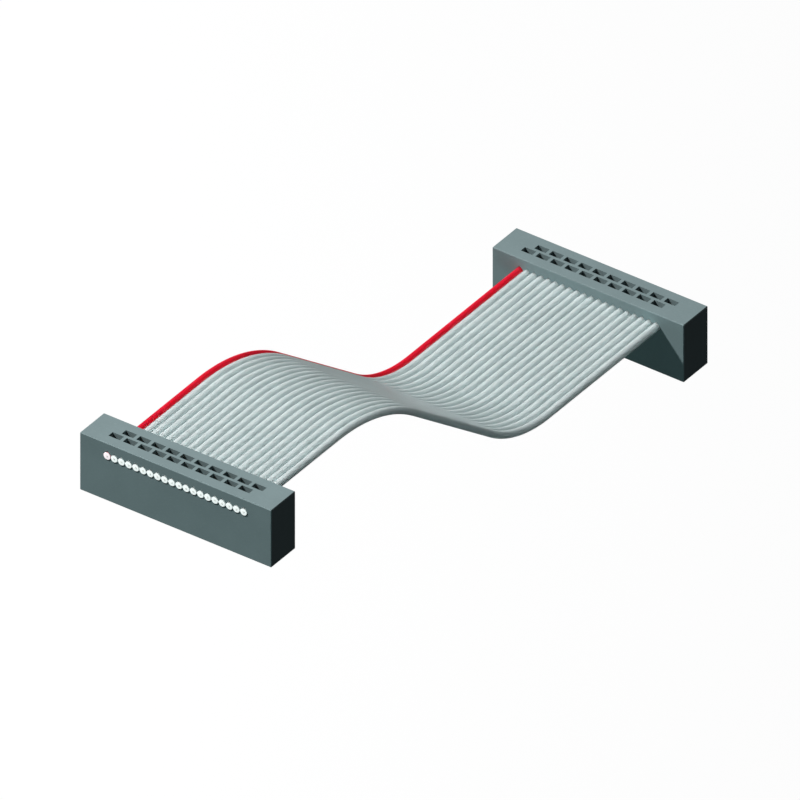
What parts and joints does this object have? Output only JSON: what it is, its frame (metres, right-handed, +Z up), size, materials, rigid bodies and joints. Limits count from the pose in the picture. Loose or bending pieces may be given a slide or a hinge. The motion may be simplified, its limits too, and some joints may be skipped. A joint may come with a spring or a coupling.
{
  "type": "flat ribbon cable assembly",
  "caption": "Flat ribbon cable bent into a gentle S between two insulation displacement sockets that face down, with a red first wire.",
  "frame": {"origin": "centre of the low socket's mating face", "axes": "+Z up, away from the boards that the sockets plug onto; +Y along the cable from the high socket to the low one; +X along the sockets, away from the red wire"},
  "size_m": [0.0338, 0.1087, 0.0361],
  "materials": {
    "cable_insulation": "extruded grey vinyl, satin, with the first wire red",
    "socket_housing": "moulded grey polyester, fine matt",
    "plated_contact": "stamped phosphor bronze, thinly plated",
    "tinned_copper": "tinned copper strands, cut square"
  },
  "bodies": {
    "root": {"ribbon_insulation": "cable_insulation", "low_socket_body": "socket_housing", "low_socket_cover": "socket_housing", "low_conductor_ends": "tinned_copper", "low_contact_01": "plated_contact", "low_contact_02": "plated_contact", "low_contact_03": "plated_contact", "low_contact_04": "plated_contact", "low_contact_05": "plated_contact", "low_contact_06": "plated_contact", "low_contact_07": "plated_contact", "low_contact_08": "plated_contact", "low_contact_09": "plated_contact", "low_contact_10": "plated_contact", "low_contact_11": "plated_contact", "low_contact_12": "plated_contact", "low_contact_13": "plated_contact", "low_contact_14": "plated_contact", "low_contact_15": "plated_contact", "low_contact_16": "plated_contact", "low_contact_17": "plated_contact", "low_contact_18": "plated_contact", "low_contact_19": "plated_contact", "low_contact_20": "plated_contact", "high_socket_body": "socket_housing", "high_socket_cover": "socket_housing", "high_conductor_ends": "tinned_copper", "high_contact_01": "plated_contact", "high_contact_02": "plated_contact", "high_contact_03": "plated_contact", "high_contact_04": "plated_contact", "high_contact_05": "plated_contact", "high_contact_06": "plated_contact", "high_contact_07": "plated_contact", "high_contact_08": "plated_contact", "high_contact_09": "plated_contact", "high_contact_10": "plated_contact", "high_contact_11": "plated_contact", "high_contact_12": "plated_contact", "high_contact_13": "plated_contact", "high_contact_14": "plated_contact", "high_contact_15": "plated_contact", "high_contact_16": "plated_contact", "high_contact_17": "plated_contact", "high_contact_18": "plated_contact", "high_contact_19": "plated_contact", "high_contact_20": "plated_contact"}
  },
  "joints": []
}
